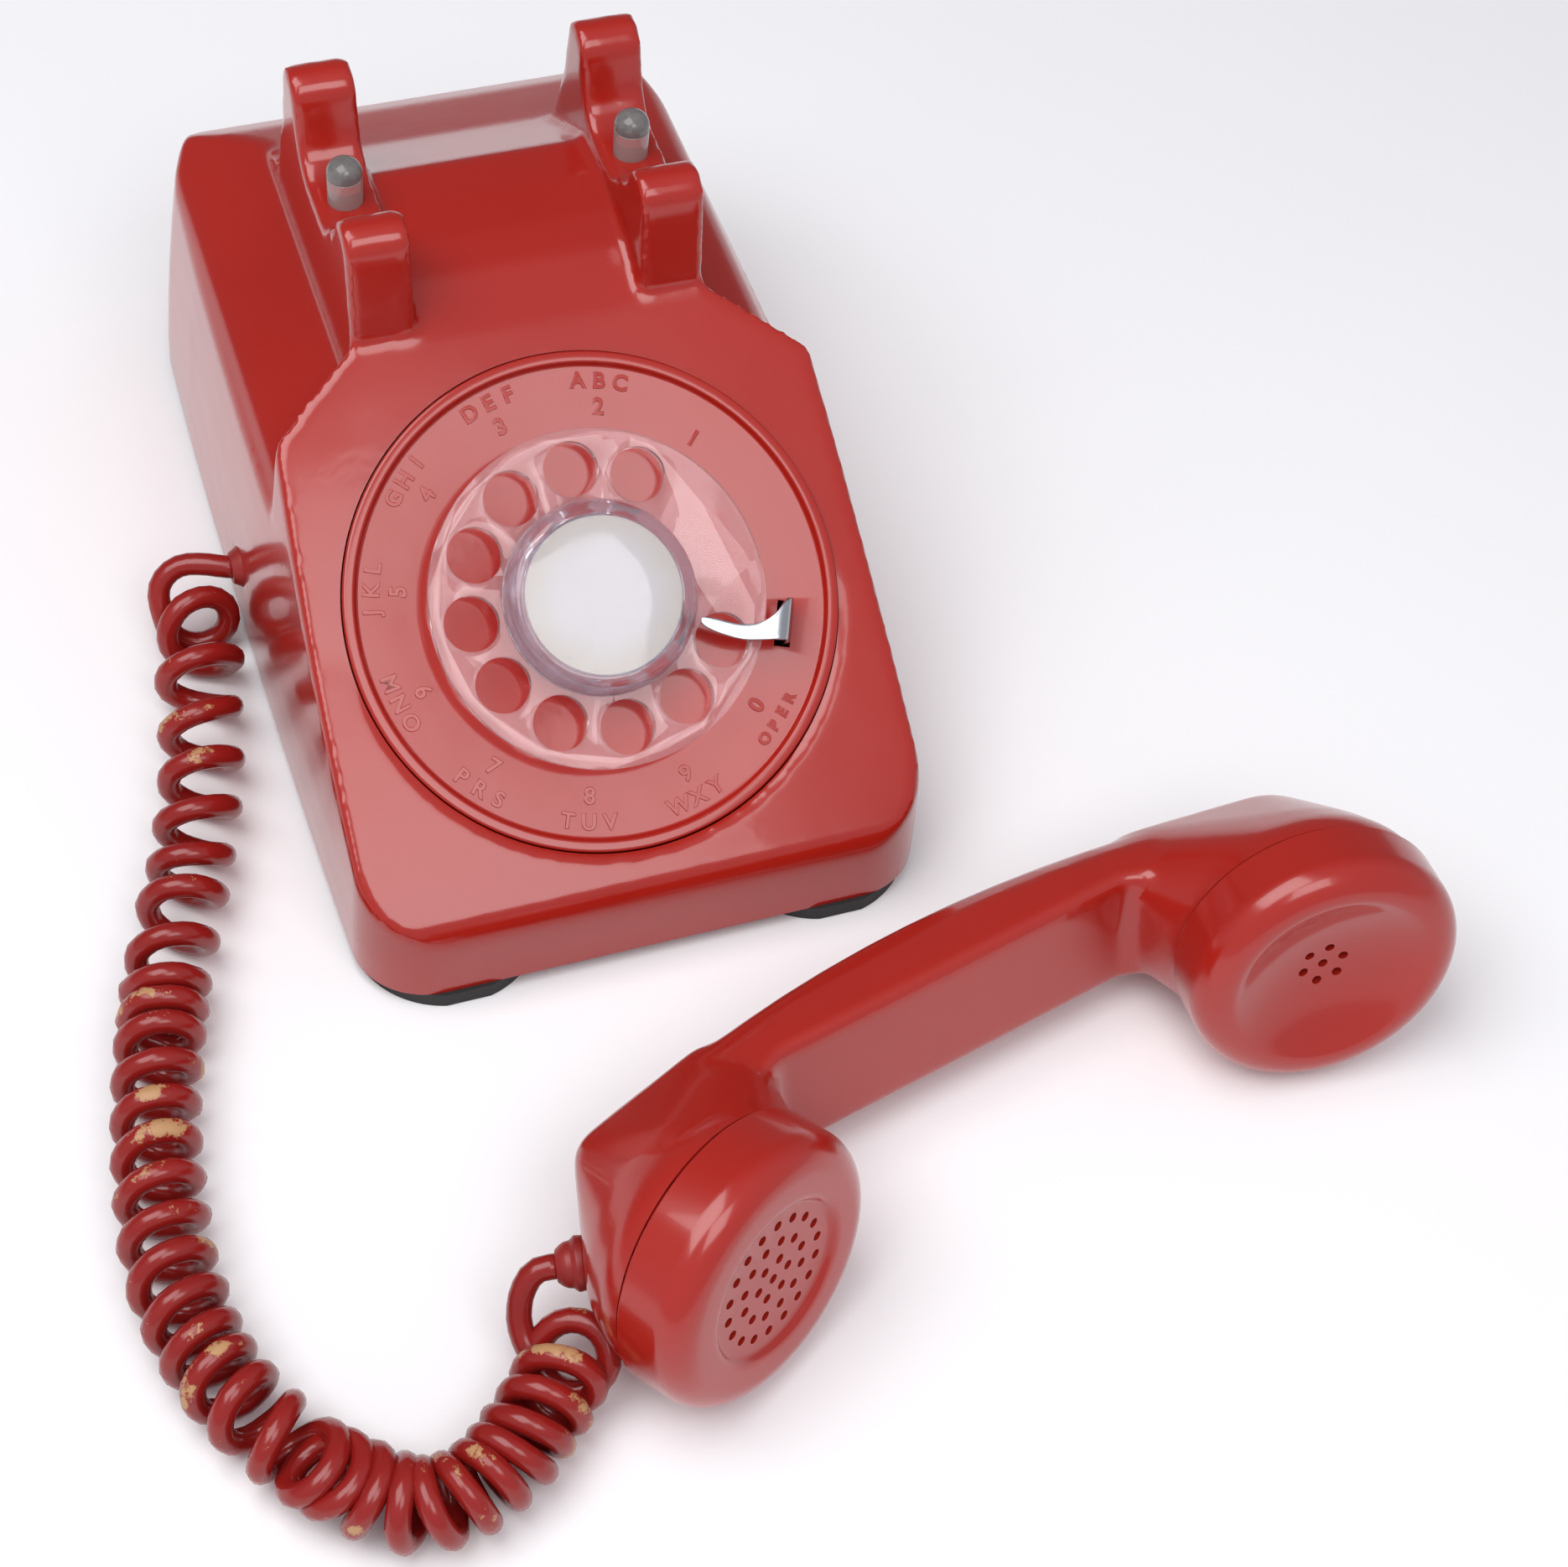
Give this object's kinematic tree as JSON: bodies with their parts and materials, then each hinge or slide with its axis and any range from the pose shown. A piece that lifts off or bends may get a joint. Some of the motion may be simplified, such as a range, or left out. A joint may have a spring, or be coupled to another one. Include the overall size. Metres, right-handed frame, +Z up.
{
  "type": "rotary telephone",
  "caption": "Rotary desk telephone with a sprung clear fingerwheel dial, a cradle hook switch, a bell ringer and a corded handset lying off the hook beside it.",
  "frame": {"origin": "at desk level, the centre of the rectangle of locating holes in the four feet", "axes": "+X to the right-hand side seen from the front, -Y to the front, +Z up"},
  "size_m": [0.2949, 0.3628, 0.1284],
  "materials": {
    "painted_case": "slightly glossy red paint over moulded plastic, with small chips",
    "cord_jacket": "red paint over a tan coiled jacket",
    "bush_red": "satin red rubber",
    "foot_rubber": "matt black rubber",
    "clear_plastic": "clear acrylic",
    "smoke_plastic": "smoky clear plastic",
    "card_paper": "off-white card",
    "chrome": "bright chromium plate",
    "steel": "zinc-plated sheet steel",
    "brass": "turned and stamped brass",
    "spring_steel": "drawn spring wire",
    "black_plastic": "black moulded phenolic",
    "coil_wire": "varnished copper winding",
    "contact_strip": "nickel-silver springs in a brown stack",
    "capsule_alloy": "pressed alloy",
    "core_iron": "soft iron",
    "wire_insulation": "cream wire insulation"
  },
  "bodies": {
    "base": {"housing": "painted_case", "base_plate": "steel", "foot_front_left": "foot_rubber", "foot_front_right": "foot_rubber", "foot_rear_left": "foot_rubber", "foot_rear_right": "foot_rubber", "case_screws": "steel", "line_cord_inlet": "foot_rubber", "handset_cord_grommet": "bush_red", "dial_bracket": "steel", "dial_front_plate": "steel", "dial_rear_plate": "steel", "dial_pillars": "brass", "number_plate": "painted_case", "finger_stop": "chrome", "mainspring": "spring_steel", "governor_cup": "steel", "pulse_contacts": "contact_strip", "hook_bracket": "steel", "hook_pin": "steel", "hook_spring": "spring_steel", "hook_contacts": "contact_strip", "ringer_frame": "steel", "ringer_coil": "coil_wire", "ringer_core": "core_iron", "gong_low": "brass", "gong_high": "brass", "gong_screws": "steel", "network_block": "black_plastic", "network_screws": "brass", "cord_exit": "cord_jacket", "cord_curl": "cord_jacket", "cord_end": "cord_jacket"},
    "dial_wheel": {"fingerwheel": "clear_plastic", "wheel_clamp": "steel", "dial_screw": "brass", "card_retainer": "clear_plastic", "number_card": "card_paper", "dial_shaft": "steel", "main_gear": "brass"},
    "pulse_train": {"pulse_shaft": "steel", "pulse_wheel": "brass"},
    "governor": {"governor_shaft": "steel", "governor_weights": "brass"},
    "plunger_left": {"plunger_left": "smoke_plastic"},
    "plunger_right": {"plunger_right": "smoke_plastic"},
    "hook_lever": {"hook_lever": "steel"},
    "clapper": {"clapper": "core_iron"},
    "volume_wheel": {"volume_wheel": "black_plastic"},
    "handset": {"handset_handle": "painted_case", "transmitter_cap": "painted_case", "receiver_cap": "painted_case", "transmitter_capsule": "capsule_alloy", "receiver_capsule": "capsule_alloy", "contact_cup": "black_plastic", "handset_wires": "wire_insulation", "handset_grommet": "bush_red"}
  },
  "joints": [
    {"name": "dial_turn", "type": "hinge", "parent": "base", "child": "dial_wheel", "pos_m": [0, -0.0554, 0.061], "axis": [0, 0.5764, -0.8171], "range_deg": [0, 340], "stiffness_Nm_per_rad": 0.0035, "springref_deg": -45.84},
    {"name": "pulse_turn", "type": "hinge", "parent": "base", "child": "pulse_train", "pos_m": [-0.01686, -0.03154, 0.07783], "axis": [0, 0.5764, -0.8171], "range_deg": [-2060, 20]},
    {"name": "governor_turn", "type": "hinge", "parent": "base", "child": "governor", "pos_m": [-0.0108, -0.04011, 0.07178], "axis": [0, 0.5764, -0.8171], "range_deg": [-20, 6140]},
    {"name": "plunger_press", "type": "slide", "parent": "base", "child": "plunger_left", "axis": [0, 0, -1], "range_m": [0, 0.0065], "stiffness_N_per_m": 150, "springref_m": -0.006},
    {"name": "plunger_right_press", "type": "slide", "parent": "base", "child": "plunger_right", "axis": [0, 0, -1], "range_m": [-0.0005, 0.007]},
    {"name": "hook_lever_tilt", "type": "hinge", "parent": "base", "child": "hook_lever", "pos_m": [0, 0.0043, 0.084], "axis": [-1, 0, 0], "range_deg": [-1, 16]},
    {"name": "clapper_swing", "type": "hinge", "parent": "base", "child": "clapper", "pos_m": [0, 0.0485, 0.02], "axis": [0, 0, 1], "range_deg": [-4, 4], "stiffness_Nm_per_rad": 0.02},
    {"name": "volume_turn", "type": "hinge", "parent": "base", "child": "volume_wheel", "pos_m": [0.03, 0.051, 0.005], "axis": [0, 0, 1], "range_deg": [0, 90]},
    {"name": "handset_lift", "type": "slide", "parent": "base", "child": "handset", "axis": [0, 0, 1], "range_m": [0, 0.15], "deforming": ["cord_end"]}
  ],
  "couplings": [
    {"joint": "pulse_turn", "follows": "dial_turn", "ratio": -6},
    {"joint": "governor_turn", "follows": "dial_turn", "ratio": 18},
    {"joint": "plunger_right_press", "follows": "plunger_press", "ratio": 1},
    {"joint": "hook_lever_tilt", "follows": "plunger_press", "rad_per_m": 37.736}
  ]
}
